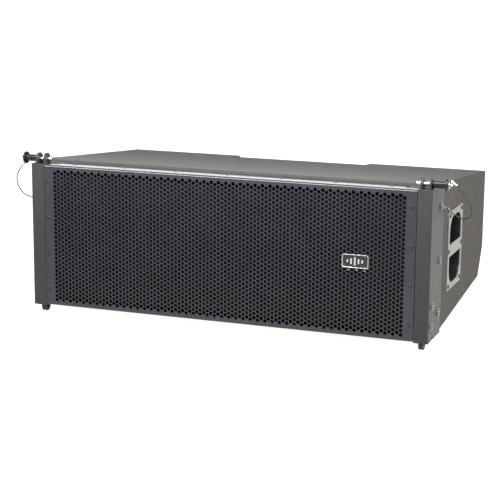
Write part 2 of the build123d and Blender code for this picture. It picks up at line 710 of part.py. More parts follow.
with BuildPart() as woofer_screws:
    for _, side in sides:
        for turn in range(8):
            a = math.radians(22.5 + 45 * turn)
            spot = Plane((side * woofer_offset + (basket_radius - 6) * math.cos(a), seat_y,
                          middle + (basket_radius - 6) * math.sin(a)), x_dir=(1, 0, 0), z_dir=(0, -1, 0))
            add(screw(spot, 4.5, 3.0, 2.5, 22.0))
save(woofer_screws, "woofer_screws")

# ---------------------------------------------------------------- high-frequency section
horn_depth = 108.0
slot_half = 14.0
horn_back = baffle_front + horn_depth
horn_wall = 4.0

with BuildPart() as horn_flare:
    with BuildSketch(Plane.XY.offset(middle - horn_half_height)):
        Polygon((-horn_half_width, baffle_front), (horn_half_width, baffle_front), (horn_half_width, baffle_back),
                (slot_half + horn_wall, horn_back), (-slot_half - horn_wall, horn_back),
                (-horn_half_width, baffle_back), align=None)
    extrude(amount=2 * horn_half_height)
    with BuildSketch(facing_back(0, baffle_front - 4.0, middle)):
        Rectangle(2 * (horn_half_width + 6), 2 * (horn_half_height + 6))
    extrude(amount=4.0)
    mouth = horn_half_width - horn_wall
    with BuildSketch(Plane.XY.offset(middle - horn_half_height + horn_wall)):
        Polygon((-mouth, baffle_front - 4.0), (mouth, baffle_front - 4.0), (mouth, baffle_front + 6),
                (slot_half, horn_back), (-slot_half, horn_back), (-mouth, baffle_front + 6), align=None)
    extrude(amount=2 * (horn_half_height - horn_wall), mode=Mode.SUBTRACT)
save(horn_flare, "horn_flare")

guide_depth = 66.0
throat_radius = 18.0
throat_rise = 57.0
guide_half = 111.0
with BuildPart() as waveguide:
    with BuildSketch(facing_back(0, horn_back, middle)):
        Rectangle(80.0, 2 * guide_half)
    extrude(amount=guide_depth)
    for lift in (-throat_rise, throat_rise):
        with BuildSketch(facing_back(0, horn_back, middle + lift)):
            Rectangle(2 * slot_half, 108.0)
        with BuildSketch(facing_back(0, horn_back + guide_depth, middle + lift)):
            Circle(throat_radius)
        loft(mode=Mode.SUBTRACT)
save(waveguide, "waveguide")

driver_front = horn_back + guide_depth
with BuildPart() as compression_drivers:
    for lift in (-throat_rise, throat_rise):
        add(revolved_y([(throat_radius, driver_front), (44, driver_front), (44, driver_front + 6),
                        (52, driver_front + 10), (52, driver_front + 40), (42, driver_front + 52),
                        (0, driver_front + 52), (0, driver_front + 14), (throat_radius, driver_front + 14)],
                       0, middle + lift))
save(compression_drivers, "compression_drivers")

# ---------------------------------------------------------------- crossover and input panel
board_back = recess_floor - board - 10.0
with BuildPart() as crossover_board:
    with BuildSketch(facing_back(0, board_back - 1.6, middle)):
        Rectangle(160.0, 150.0)
    extrude(amount=1.6)
    with BuildSketch(facing_back(0, board_back, middle)):
        with GridLocations(144.0, 134.0, 2, 2):
            Circle(4.0)
    extrude(amount=10.0)
save(crossover_board, "crossover_board")

with BuildPart() as crossover_components:
    for x, z, size in ((-50.0, middle + 40.0, 24.0), (45.0, middle + 38.0, 20.0), (-45.0, middle - 40.0, 20.0)):
        add(revolved_y([(9, board_back - 21.6), (size, board_back - 21.6), (size, board_back - 1.6),
                        (9, board_back - 1.6)], x, z))
    for x, z, size in ((20.0, middle - 30.0, 9.0), (44.0, middle - 30.0, 9.0), (0.0, middle + 10.0, 7.0)):
        with BuildSketch(Plane((x, board_back - 1.6 - size, z - 16.0))):
            Circle(size)
        extrude(amount=32.0)
save(crossover_components, "crossover_components")

input_x = sum(place[0] for place in socket_places) / 2
input_z = socket_places[0][1]
input_screws_at = [(dx, dz) for dx in (-44.0, 44.0) for dz in (-34.0, 34.0)]
with BuildPart() as input_plate:
    with BuildSketch(facing_back(input_x, recess_floor, input_z)):
        RectangleRounded(100.0, 80.0, 4.0)
        with Locations(*[(x - input_x, 0) for x, _ in socket_places]):
            Circle(socket_hole, mode=Mode.SUBTRACT)
        with Locations(*input_screws_at):
            Circle(1.5 + hole_slack, mode=Mode.SUBTRACT)
    extrude(amount=2.0)
save(input_plate, "input_plate")

with BuildPart() as input_sockets:
    for x, z in socket_places:
        with BuildSketch(facing_back(x, recess_floor + 2.0, z)):
            RectangleRounded(31.0, 34.0, 3.0)
        extrude(amount=3.0)
        with BuildSketch(facing_back(x, recess_floor + 5.0, z)):
            Circle(socket_hole - slack)
        extrude(amount=-5.0 - board)
        with BuildSketch(facing_back(x, recess_floor + 5.0, z)):
            Circle(9.5)
            Circle(4.0, mode=Mode.SUBTRACT)
        extrude(amount=-15.0, mode=Mode.SUBTRACT)
save(input_sockets, "input_sockets")

# ---------------------------------------------------------------- rear splay link
channel_half = 6.5
channel_wall = 5.0
channel_low = bottom(recess_floor) + board_rise + 2.3     # the channel fills the recess boards' height
channel_high = top(recess_floor) - board_rise - slack
channel_base = 4.0
link_y = recess_floor + 24.0
link_pivot_z = base + 222.0
link_length = 118.0
link_wall = 10.0
link_radius = 12.0
rear_pin_z = base + 76.0

with BuildPart() as rear_bracket:
    with BuildSketch(facing_back(0, recess_floor, (channel_low + channel_high) / 2)):
        Rectangle(64.0, channel_high - channel_low)
    extrude(amount=channel_base)
    for side in (-1, 1):
        with BuildSketch(across(side * channel_half)):
            Polygon((recess_floor + channel_base, channel_low), (rear - 6.0, channel_low),
                    (rear - 6.0, channel_high - 14.0), (rear - 20.0, channel_high),
                    (recess_floor + channel_base, channel_high), align=None)
            with Locations((link_y, link_pivot_z), (link_y, rear_pin_z)):
                Circle(pin_bore, mode=Mode.SUBTRACT)
        extrude(amount=side * channel_wall)
    with BuildSketch(facing_back(0, recess_floor, (channel_low + channel_high) / 2)):
        with GridLocations(50.0, 150.0, 2, 2):
            Circle(2.5 + hole_slack)
    extrude(amount=channel_base, mode=Mode.SUBTRACT)
save(rear_bracket, "rear_bracket")

with BuildPart() as link_pivot:
    add(revolved_x([(-channel_half - channel_wall - 4, 0), (-channel_half - channel_wall - 4, 7.0),
                    (-channel_half - channel_wall - slack, 7.0), (-channel_half - channel_wall - slack, pin_radius),
                    (channel_half + channel_wall + slack, pin_radius), (channel_half + channel_wall + slack, 6.0),
                    (channel_half + channel_wall + 4, 6.0), (channel_half + channel_wall + 4, 0)],
                   link_y, link_pivot_z))
save(link_pivot, "link_pivot")

with BuildPart() as splay_link:
    with BuildSketch(across(-link_wall / 2)):
        with Locations((link_y, link_pivot_z - link_length / 2)):
            SlotOverall(link_length + 2 * link_radius, 2 * link_radius, rotation=90)
        with Locations((link_y, link_pivot_z)):
            Circle(pin_bore, mode=Mode.SUBTRACT)
        with Locations(*[(link_y, link_pivot_z - link_length + 14.0 * step) for step in range(6)]):
            Circle(pin_bore, mode=Mode.SUBTRACT)
    extrude(amount=link_wall)
save(splay_link, "splay_link")

pin_pieces("rear_pin", 1, channel_half + channel_wall, -channel_half - channel_wall - tip_overhang, link_y, rear_pin_z)

with BuildPart() as panel_screws:
    for _, side in sides:
        for dy, dz in handle_screws_at:
            spot = Plane((side * (cabinet_half + handle_sheet), handle_y + dy, handle_z + dz),
                         x_dir=(0, 1, 0), z_dir=(side, 0, 0))
            add(screw(spot, 4.0, 1.8, handle_screw_radius, 11.0))
    for dx in (-25.0, 25.0):
        for dz in (-75.0, 75.0):
            spot = Plane((dx, recess_floor + channel_base, (channel_low + channel_high) / 2 + dz),
                         x_dir=(1, 0, 0), z_dir=(0, 1, 0))
            add(screw(spot, 4.5, 2.5, 2.5, channel_base))
    for dx, dz in input_screws_at:
        spot = Plane((input_x + dx, recess_floor + 2.0, input_z + dz), x_dir=(1, 0, 0), z_dir=(0, 1, 0))
        add(screw(spot, 3.2, 1.8, 1.5, 2.0))
save(panel_screws, "panel_screws")
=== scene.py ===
# %% [markdown]
# # A line array loudspeaker module
# The real object is a wedge-shaped plywood box with a perforated steel front, steel corner rigging,
# quick-release pins and side handles.  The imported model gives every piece's exact place.  This lesson keeps
# that frame as it is, and models what the eye sees round it, one piece at a time.

import json
import math

import bpy
from mathutils import Matrix, Vector

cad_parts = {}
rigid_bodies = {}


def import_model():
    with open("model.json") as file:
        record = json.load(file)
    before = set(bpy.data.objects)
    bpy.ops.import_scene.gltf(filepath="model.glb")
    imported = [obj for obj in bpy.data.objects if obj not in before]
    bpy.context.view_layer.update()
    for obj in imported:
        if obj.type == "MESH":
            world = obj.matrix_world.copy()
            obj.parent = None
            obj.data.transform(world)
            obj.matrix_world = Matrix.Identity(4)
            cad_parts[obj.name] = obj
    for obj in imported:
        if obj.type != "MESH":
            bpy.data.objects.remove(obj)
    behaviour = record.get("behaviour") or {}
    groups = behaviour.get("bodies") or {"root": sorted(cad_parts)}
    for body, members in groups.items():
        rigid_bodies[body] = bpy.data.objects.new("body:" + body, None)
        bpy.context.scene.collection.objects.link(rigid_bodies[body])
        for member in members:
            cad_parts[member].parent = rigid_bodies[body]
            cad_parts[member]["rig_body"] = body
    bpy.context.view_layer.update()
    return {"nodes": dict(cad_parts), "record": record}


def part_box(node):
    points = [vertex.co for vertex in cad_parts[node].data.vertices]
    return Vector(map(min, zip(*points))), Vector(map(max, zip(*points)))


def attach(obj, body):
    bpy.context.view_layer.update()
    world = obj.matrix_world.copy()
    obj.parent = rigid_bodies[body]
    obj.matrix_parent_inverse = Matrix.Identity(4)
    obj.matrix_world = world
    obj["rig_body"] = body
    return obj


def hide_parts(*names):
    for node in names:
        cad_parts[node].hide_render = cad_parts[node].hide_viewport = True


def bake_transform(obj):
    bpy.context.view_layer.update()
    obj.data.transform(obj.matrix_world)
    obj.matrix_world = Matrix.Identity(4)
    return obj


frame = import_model()
nodes = frame["nodes"]
mm = 0.001

# %% [markdown]
# ## Camera
# A product picture of a wide box is taken from far away with a long lens, so that its edges stay nearly
# parallel.  The camera could be aimed with a constraint, but a matrix built from three angles is exact and
# keeps no helper object in the scene.

# %% Camera
yaw, pitch, roll = math.radians(20.38), math.radians(11.98), math.radians(0.48)
forward = Vector((-math.sin(yaw) * math.cos(pitch), math.cos(yaw) * math.cos(pitch), -math.sin(pitch)))
level_right = Vector((math.cos(yaw), math.sin(yaw), 0))
level_up = level_right.cross(forward)
right = level_right * math.cos(roll) + level_up * math.sin(roll)
up = level_up * math.cos(roll) - level_right * math.sin(roll)

lens = bpy.data.cameras.new("camera")
lens.lens = 105.1
lens.sensor_width = 36.0
lens.clip_start, lens.clip_end = 0.05, 200.0
camera = bpy.data.objects.new("camera", lens)
bpy.context.scene.collection.objects.link(camera)
stand = (0.98345, -2.73598, 0.72725)
camera.matrix_world = Matrix.Translation(stand) @ Matrix((right, up, -forward)).transposed().to_4x4()
bpy.context.scene.camera = camera
print("camera:", round(camera.location.length, 2), "m away,", lens.lens, "mm lens")

# %% [markdown]
# ## Small tools
# The same few moves come back for every piece: select it, add a primitive between two corners, select some
# of its faces by their place, apply a modifier, cut it with another block.  Each becomes a short function.

# %% Small tools
def take(piece):
    """Makes the piece the only selected object, and the active one."""
    bpy.ops.object.select_all(action="DESELECT")
    piece.select_set(True)
    bpy.context.view_layer.objects.active = piece


def settled(name):
    """Names the new object and puts its place, turn and scale into its mesh."""
    piece = bpy.context.active_object
    piece.name = piece.data.name = name
    bpy.ops.object.transform_apply(location=True, rotation=True, scale=True)
    return piece


def block(name, low, high):
    """A cube brought to its lowest and highest corner, given in millimetres."""
    bpy.ops.object.select_all(action="DESELECT")
    bpy.ops.mesh.primitive_cube_add(size=1, location=[(a + b) / 2 * mm for a, b in zip(low, high)])
    bpy.context.active_object.scale = [(b - a) * mm for a, b in zip(low, high)]
    return settled(name)


turns = {"x": (0, math.pi / 2, 0), "y": (math.pi / 2, 0, 0), "z": (0, 0, 0)}


def drum(name, centre, radius, depth, along, sides=32):
    """A cylinder about a centre, in millimetres, with its length along one axis."""
    bpy.ops.object.select_all(action="DESELECT")
    bpy.ops.mesh.primitive_cylinder_add(vertices=sides, radius=radius * mm, depth=depth * mm,
                                        location=[c * mm for c in centre], rotation=turns[along])
    return settled(name)


def modify(piece, kind, **settings):
    """Adds a modifier with these settings and applies it."""
    take(piece)
    modifier = piece.modifiers.new(kind, kind)
    for key, value in settings.items():
        setattr(modifier, key, value)
    bpy.ops.object.modifier_apply(modifier=modifier.name)


def cut(piece, cutter, operation="DIFFERENCE"):
    """Cuts the cutter out of the piece, or joins it on, and removes the cutter."""
    modify(piece, "BOOLEAN", object=cutter, operation=operation, solver="EXACT")
    bpy.data.objects.remove(cutter)


def choose(piece, kind, test):
    """Opens edit mode with the points, edges or faces selected whose middle, in mm, passes the test."""
    take(piece)
    bpy.ops.object.mode_set(mode="EDIT")
    bpy.ops.mesh.select_mode(type=kind)
    bpy.ops.mesh.select_all(action="DESELECT")
    bpy.ops.object.mode_set(mode="OBJECT")
    mesh = piece.data
    points = mesh.vertices
    if kind == "VERT":
        for v in points:
            v.select = test(v.co / mm, v)
    elif kind == "EDGE":
        for e in mesh.edges:
            e.select = test((points[e.vertices[0]].co + points[e.vertices[1]].co) / 2 / mm, e)
    else:
        for f in mesh.polygons:
            f.select = test(f.center / mm, f)
    bpy.ops.object.mode_set(mode="EDIT")


def done():
    """Leaves edit mode."""
    bpy.ops.object.mode_set(mode="OBJECT")


def edit_all(piece):
    """Opens edit mode with the whole piece selected."""
    take(piece)
    bpy.ops.object.mode_set(mode="EDIT")
    bpy.ops.mesh.select_all(action="SELECT")


def soften(piece, width, segments=2, angle=30):
    """Rounds the sharp edges by this many millimetres, then shades the curves smooth."""
    modify(piece, "BEVEL", width=width * mm, segments=segments, limit_method="ANGLE",
           angle_limit=math.radians(angle))
    take(piece)
    bpy.ops.object.shade_smooth_by_angle(angle=math.radians(max(angle, 50)))
    modify(piece, "WEIGHTED_NORMAL", keep_sharp=True)


def join(pieces, name):
    """Joins several pieces into one mesh."""
    bpy.ops.object.select_all(action="DESELECT")
    for piece in pieces:
        piece.select_set(True)
    bpy.context.view_layer.objects.active = pieces[0]
    bpy.ops.object.join()
    pieces[0].name = pieces[0].data.name = name
    return pieces[0]


def copied(piece, move, turn=None):
    """A copy with its own mesh, turned about the origin and then moved, in millimetres."""
    mesh = piece.data.copy()
    mesh.transform(Matrix.Translation([c * mm for c in move]) @ (turn or Matrix.Identity(4)))
    copy = bpy.data.objects.new(piece.name, mesh)
    bpy.context.scene.collection.objects.link(copy)
    return copy


print("tools ready")

# %% [markdown]
# ## Finishes
# Nearly every surface here is a dark coat on wood or steel, and what tells them apart is grain and sheen.
# One recipe makes them all: broad mottling varies the colour, a middle noise varies the gloss, and a fine
# noise or cell pattern raises the surface.  All of it reads Object coordinates, so that it stays put.

# %% Noise and colour
def noise(tree, source, size, detail, rough):
    """A noise whose lumps are about this many millimetres across."""
    node = tree.nodes.new("ShaderNodeTexNoise")
    node.inputs["Scale"].default_value = 1 / (size * mm)
    node.inputs["Detail"].default_value = detail
    node.inputs["Roughness"].default_value = rough
    tree.links.new(source, node.inputs["Vector"])
    return node.outputs["Fac"]


def ramp(tree, source, levels, colours):
    """Turns a noise between two levels into a colour between two colours."""
    node = tree.nodes.new("ShaderNodeValToRGB")
    for element, level, colour in zip(node.color_ramp.elements, levels, colours):
        element.position = level
        element.color = [*colour, 1]
    tree.links.new(source, node.inputs["Fac"])
    return node.outputs["Color"]


print("noise and ramp ready")

# %% The recipe for a finish
def finish(name, colour, roughness, metallic=0.0, mottle=0.15, mottle_size=60.0, grain=1.2, relief=0.2,
           stretch=(1, 1, 1), cells=False, gloss_change=0.12, specks=0.0, shine=0.5):
    """A procedural material.  Sizes are in millimetres; mottle and gloss_change are how far each varies."""
    material = bpy.data.materials.new(name)
    material.use_nodes = True
    tree = material.node_tree
    shader = tree.nodes["Principled BSDF"]
    shader.inputs["Metallic"].default_value = metallic
    shader.inputs["Specular IOR Level"].default_value = shine
    place = tree.nodes.new("ShaderNodeTexCoord")
    mapping = tree.nodes.new("ShaderNodeMapping")
    mapping.inputs["Scale"].default_value = stretch
    tree.links.new(place.outputs["Object"], mapping.inputs["Vector"])
    stretched = mapping.outputs["Vector"]
    broad = noise(tree, place.outputs["Object"], mottle_size, 5, 0.6)
    fine = noise(tree, stretched, grain, 4, 0.65)
    middle = noise(tree, stretched, grain * 7, 3, 0.5)

    tint = ramp(tree, broad, (0.3, 0.7), ([c * (1 - mottle) for c in colour],
                                          [min(1, c * (1 + mottle)) for c in colour]))
    if specks:
        blend = tree.nodes.new("ShaderNodeMix")
        blend.data_type, blend.blend_type = "RGBA", "MULTIPLY"
        blend.inputs["Factor"].default_value = 1.0
        tree.links.new(tint, blend.inputs["A"])
        tree.links.new(ramp(tree, fine, (0.58, 0.72), ((1, 1, 1), [1 + specks] * 3)), blend.inputs["B"])
        tint = blend.outputs["Result"]
    tree.links.new(tint, shader.inputs["Base Color"])

    gloss = tree.nodes.new("ShaderNodeMapRange")
    gloss.inputs["From Min"].default_value, gloss.inputs["From Max"].default_value = 0.3, 0.7
    gloss.inputs["To Min"].default_value = max(0.02, roughness - gloss_change)
    gloss.inputs["To Max"].default_value = min(1.0, roughness + gloss_change)
    tree.links.new(middle, gloss.inputs["Value"])
    tree.links.new(gloss.outputs["Result"], shader.inputs["Roughness"])

    raised = fine
    if cells:
        cell = tree.nodes.new("ShaderNodeTexVoronoi")
        cell.inputs["Scale"].default_value = 1 / (grain * mm)
        tree.links.new(stretched, cell.inputs["Vector"])
        raised = cell.outputs["Distance"]
    bump = tree.nodes.new("ShaderNodeBump")
    bump.inputs["Strength"].default_value = relief
    bump.inputs["Distance"].default_value = grain * mm
    tree.links.new(raised, bump.inputs["Height"])
    tree.links.new(bump.outputs["Normal"], shader.inputs["Normal"])
    return material


print("recipe ready")

# %% [markdown]
# ## One finish for each slot
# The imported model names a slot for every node, and each slot gets one finish here.  They could be tuned
# piece by piece, but then two halves of one real part would differ.  The paint is rough and has pale
# specks, the grille's powder coat is the smoothest, and only the plating is fully metallic.

# %% Finishes
finishes = {
    "textured_black_paint": finish("textured paint", (0.050, 0.0487, 0.0455), 0.68, shine=0.10, grain=1.7,
                                   relief=0.55, mottle=0.11, mottle_size=16, specks=0.45,
                                   gloss_change=0.06),
    "grille_steel": finish("grille powder coat", (0.017, 0.0172, 0.0205), 0.15, grain=0.5, relief=0.01,
                           shine=0.30, gloss_change=0.03),
    "black_foam": finish("acoustic foam", (0.012, 0.012, 0.0135), 0.95, grain=1.4, relief=0.9, cells=True,
                         shine=0.03),
    "black_screws": finish("black zinc", (0.012, 0.012, 0.013), 0.32, grain=0.4, relief=0.08, shine=0.3),
    "badge_metal": finish("badge dark enamel", (0.014, 0.014, 0.016), 0.36, shine=0.25, grain=0.3,
                          relief=0.05),
    "rigging_steel": finish("rigging powder coat", (0.0265, 0.0262, 0.0268), 0.40, shine=0.12, grain=0.7,
                            relief=0.06, mottle=0.05, mottle_size=45, gloss_change=0.04),
    "pin_chrome": finish("bright plating", (0.60, 0.60, 0.60), 0.17, metallic=1.0, mottle=0.05, grain=0.5,
                         relief=0.03, gloss_change=0.06),
    "pin_black": finish("black anodising", (0.008, 0.008, 0.009), 0.28, shine=0.2, grain=0.35, relief=0.08,
                        stretch=(6, 1, 1)),
    "lanyard_wire": finish("stranded wire", (0.022, 0.022, 0.023), 0.40, metallic=0.3, grain=0.8, relief=0.5,
                           cells=True),
    "handle_satin": finish("satin nickel", (0.195, 0.195, 0.183), 0.42, metallic=0.6, grain=0.35, relief=0.10,
                           stretch=(1, 1, 12), mottle=0.07, gloss_change=0.08),
    "cup_black": finish("black pressed steel", (0.010, 0.010, 0.011), 0.5, shine=0.25, grain=0.6,
                        relief=0.12),
    "basket_alloy": finish("coated casting", (0.070, 0.070, 0.075), 0.5, metallic=0.4, grain=0.8, relief=0.2),
    "motor_steel": finish("black zinc plates", (0.090, 0.090, 0.10), 0.35, metallic=0.8, grain=0.5,
                          relief=0.06),
    "cone_paper": finish("treated pulp", (0.030, 0.030, 0.031), 0.8, grain=2.2, relief=0.45, mottle=0.25,
                         mottle_size=14),
    "surround_cloth": finish("doped cloth", (0.025, 0.025, 0.026), 0.7, grain=0.7, relief=0.6, cells=True),
    "horn_plastic": finish("horn moulding", (0.024, 0.024, 0.024), 0.5, grain=0.8, relief=0.12),
    "circuit_board": finish("circuit board", (0.030, 0.12, 0.050), 0.35, grain=1.2, relief=0.08),
    "crossover_parts": finish("copper winding", (0.55, 0.25, 0.11), 0.35, metallic=0.9, grain=0.7, relief=0.3,
                              stretch=(1, 8, 1)),
    "input_panel": finish("panel powder coat", (0.028, 0.028, 0.030), 0.45, grain=0.6, relief=0.14),
    "socket_plastic": finish("socket moulding", (0.022, 0.026, 0.045), 0.35, grain=0.5, relief=0.05),
}
zinc = finish("zinc", (0.10, 0.10, 0.10), 0.26, metallic=0.6, grain=0.4, relief=0.06)
bright = finish("badge bright metal", (0.46, 0.46, 0.455), 0.36, metallic=0.9, grain=0.3, relief=0.06,
                gloss_change=0.08)
print("finishes:", len(finishes) + 2)

# %% [markdown]
# ## Finishes onto the frame
# The frame's own nodes are already the right shape inside the box and at the back, so they stay, and only
# take their finish.  New pieces need the same few steps each time: a finish, a body to ride on, and the
# names of the nodes that they stand for.  One helper does all of them.

# %% Coats
slot_of = {part["node"]: part["material_slot"] for part in frame["record"]["subparts"]}


def coat(piece, material):
    """Gives the piece one finish all over."""
    piece.data.materials.clear()
    piece.data.materials.append(material)


for node, piece in nodes.items():
    coat(piece, finishes[slot_of[node]])
coat(nodes["lanyard_anchors"], zinc)
print("coated:", len(nodes), "nodes")


def place(piece, body, stands_for=(), slot=None, material=None):
    """Rides the piece on a body, in the finish of its slot, and hides the nodes that it stands for."""
    coat(piece, material or finishes[slot])
    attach(piece, body)
    if stands_for:
        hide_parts(*stands_for)
    print(piece.name + ":", len(piece.data.polygons), "faces")


# %% [markdown]
# ## Wire lanyards
# A thin steel wire keeps each pin with its corner: it leaves the ring on the pin, hangs in one loose loop
# and ends in a ferrule on the corner angle.  A bevelled curve shows a wire well.  The real wire bends as the
# pin is drawn, but here the smooth curve only becomes a mesh tube.

# %% Wire lanyards
wire_diameter = 2.0 * mm
lanyards = {
    "left": (0.168, [(-430.5, -218.8, 291.0), (-445.0, -211.2, 278.0), (-456.5, -201.2, 260.0),
                     (-460.0, -187.2, 238.5), (-454.5, -170.8, 220.5), (-440.0, -156.2, 213.5),
                     (-424.0, -143.2, 217.5), (-412.0, -134.2, 229.0), (-408.5, -133.2, 242.0)]),
    "right": (0.149, [(436.0, -213.2, 305.0), (447.0, -202.8, 289.0), (455.5, -185.8, 268.0),
                      (457.5, -166.8, 251.5), (450.0, -149.2, 236.5), (433.0, -136.2, 229.5),
                      (418.0, -130.2, 235.5), (408.5, -133.2, 242.0)]),
}
for side, (length, route) in lanyards.items():
    curve = bpy.data.curves.new(side + "_wire", "CURVE")
    curve.dimensions = "3D"
    curve.resolution_u = 10
    spline = curve.splines.new("NURBS")
    spline.points.add(len(route) - 1)
    for point, spot in zip(spline.points, route):
        point.co = [c * mm for c in spot] + [1]
    spline.order_u = 3
    spline.use_endpoint_u = True
    wire = bpy.data.objects.new(side + "_wire", curve)
    bpy.context.scene.collection.objects.link(wire)
    line = bpy.data.meshes.new_from_object(wire)
    curve.bevel_depth = wire_diameter / 2
    curve.bevel_resolution = 3
    curve.use_fill_caps = True
    take(wire)
    bpy.ops.object.convert(target="MESH")
    wire = bpy.context.active_object
    bpy.ops.object.shade_smooth_by_angle(angle=math.radians(50))
    coat(wire, finishes["lanyard_wire"])
    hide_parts(side + "_lanyard")
    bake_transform(wire)

# %% [markdown]
# ## Cabinet
# The real cabinet is glued plywood, filled and painted all over, so no joint between its boards shows.  It
# could be a copy of each board, but then every seam would catch the light.  One block is cut to the wedge
# with planes, which leaves one closed skin.

# %% Wedge
front, rear, middle = -241.25, 243.75, 157.0
behind_grille = -235.95
half = 396.0
slope = math.tan(math.radians(5.0))
half_front = 148.7


def height_at(y):
    """Half the cabinet's height at depth y, in millimetres."""
    return half_front - (y - front) * slope


def wedge(name, side, low, high, inset=0.0):
    """A block between two depths whose top and bottom follow the cabinet's slopes, less an inset."""
    piece = block(name, (-side, low, middle - 300), (side, high, middle + 300))
    for sign in (-1, 1):
        edit_all(piece)
        bpy.ops.mesh.bisect(plane_co=(0, front * mm, (middle + sign * (half_front - inset)) * mm),
                            plane_no=(0, slope, sign), use_fill=True, clear_outer=True)
        done()
    return piece


cabinet = wedge("cabinet_shell", half, behind_grille, rear)
chamfer_depth, chamfer_top = 36.0, 106.0
chamfer_low = Vector((rear - chamfer_depth, middle - height_at(rear - chamfer_depth)))
chamfer_high = Vector((rear, chamfer_top))
run = (chamfer_high - chamfer_low).normalized()
edit_all(cabinet)
bpy.ops.mesh.bisect(plane_co=(0, chamfer_low.x * mm, chamfer_low.y * mm), plane_no=(0, run.y, -run.x),
                    use_fill=True, clear_outer=True)
done()
print("wedge:", len(cabinet.data.polygons), "faces")

# %% [markdown]
# ## What is cut out of the cabinet
# A joiner cuts a recess for the sockets at the rear, a rebate for the grille's folds, a pocket behind each
# corner angle and a hole for each handle.  All of these are blocks that a boolean takes out of the wedge.
# Insets and extrudes could make them too, but they would leave thin faces across the slopes.

# %% Cuts
recess_half, recess_floor = 149.0, 196.75
board, inside_half, inside_rear = 15.06, 381.0, 181.7
rebate_half, rebate_rear = 138.5, -193.25
pocket_side, pocket_rear = 371.0, -205.25
board_middle, cup_gap, cup_corner = 388, 0.3, 31.8
beyond, ahead = 450, -260
cut(cabinet, block("recess", (-recess_half, recess_floor, -20), (recess_half, 260, 340)))
cut(cabinet, wedge("hollow", inside_half, -250, inside_rear, inset=board))
cup_low, cup_high = (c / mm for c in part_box("right_handle_cup"))
for sign in (-1, 1):
    low, high = sorted((middle + sign * rebate_half, middle + sign * 180))
    cut(cabinet, block("rebate", (-beyond, ahead, low), (beyond, rebate_rear, high)))
    low, high = sorted((sign * pocket_side, sign * beyond))
    cut(cabinet, block("pocket", (low, ahead, -20), (high, pocket_rear, 340)))
    opening = block("cup hole", (sign * board_middle - 20, cup_low.y - cup_gap, cup_low.z - cup_gap),
                    (sign * board_middle + 20, cup_high.y + cup_gap, cup_high.z + cup_gap))
    choose(opening, "EDGE", lambda at, e: abs(at.x - sign * board_middle) < 1)
    bpy.ops.mesh.bevel(offset=cup_corner * mm, segments=8)
    done()
    cut(cabinet, opening)
for x in (-108.0, -62.0):
    cut(cabinet, drum("socket hole", (x, 190, 156), 13.5, 40, "y"))
print("cabinet cut:", len(cabinet.data.polygons), "faces")
soften(cabinet, 1.6, segments=3, angle=25)
place(cabinet, "cabinet", ("cabinet_top", "cabinet_bottom", "cabinet_left_side", "cabinet_right_side",
                           "rear_boards", "recess_boards"), "textured_black_paint")

# %% [markdown]
# ## Grille
# The front is one steel sheet, punched with staggered round holes and folded back at its top and bottom.
# Holes drawn in a material would look flat from the side, so these are real.  Three thousand boolean cuts
# would be slow and leave poor faces, so one six-sided tile is bridged to a round hole, and later repeated.

# %% One tile of the grille
pitch_z, hole_radius = 8.4, 3.65
column_step = pitch_z * math.cos(math.radians(30))
tile_corner = pitch_z / 2 / math.cos(math.radians(30))
columns, rows = 97, 31
lowest = middle - pitch_z * (rows / 2 - 0.25)
bpy.ops.object.select_all(action="DESELECT")
start = [-(columns - 1) / 2 * column_step * mm, front * mm, lowest * mm]
bpy.ops.mesh.primitive_circle_add(vertices=6, radius=tile_corner * mm, location=start,
                                  rotation=(math.pi / 2, math.pi / 6, 0))
outline = settled("grille_tile")
bpy.ops.object.select_all(action="DESELECT")
bpy.ops.mesh.primitive_circle_add(vertices=12, radius=hole_radius * mm, location=start,
                                  rotation=(math.pi / 2, 0, 0))
hole = settled("grille_hole")
grille = join([outline, hole], "grille_tile")
edit_all(grille)
bpy.ops.mesh.bridge_edge_loops()
done()
print("tile:", len(grille.data.polygons), "faces")

# %% [markdown]
# ## The field of holes
# The holes stand in columns, and every second column is half a step higher.  An array makes a column, and
# two more arrays repeat it sideways, once for the low columns and once for the high ones.  Their shared edges
# are merged, so the field is one sheet.

# %% Columns of tiles
def row_of(piece, count, step):
    """Repeats the piece at a fixed step, in millimetres, and merges what touches."""
    modify(piece, "ARRAY", count=count, use_relative_offset=False, use_constant_offset=True,
           constant_offset_displace=[s * mm for s in step], use_merge_vertices=True,
           merge_threshold=0.01 * mm)


row_of(grille, rows, (0, 0, pitch_z))
between = copied(grille, (column_step, 0, pitch_z / 2))
row_of(grille, (columns + 1) // 2, (2 * column_step, 0, 0))
row_of(between, columns // 2, (2 * column_step, 0, 0))
grille = join([grille, between], "perforated_grille")
edit_all(grille)
bpy.ops.mesh.remove_doubles(threshold=0.02 * mm)
done()
print("field:", columns * rows, "holes,", len(grille.data.polygons), "faces")

# %% [markdown]
# ## The plain margin
# The sheet has a plain margin round its holes.  A separate frame would leave a seam, so the field's own outer
# edges are extruded in place and moved out to the margin's straight lines.  They are the edges with a face on
# one side only that are longer than a hole's.

# %% Margin of the grille
faces_on = {}
for f in grille.data.polygons:
    for key in f.edge_keys:
        faces_on[key] = faces_on.get(key, 0) + 1
points = grille.data.vertices
rim = {key for key, count in faces_on.items()
       if count == 1 and (points[key[0]].co - points[key[1]].co).length > 3 * mm}
choose(grille, "EDGE", lambda at, e: e.key in rim)
bpy.ops.mesh.extrude_edges_move(TRANSFORM_OT_translate={"value": (0, 0, 0)})
done()

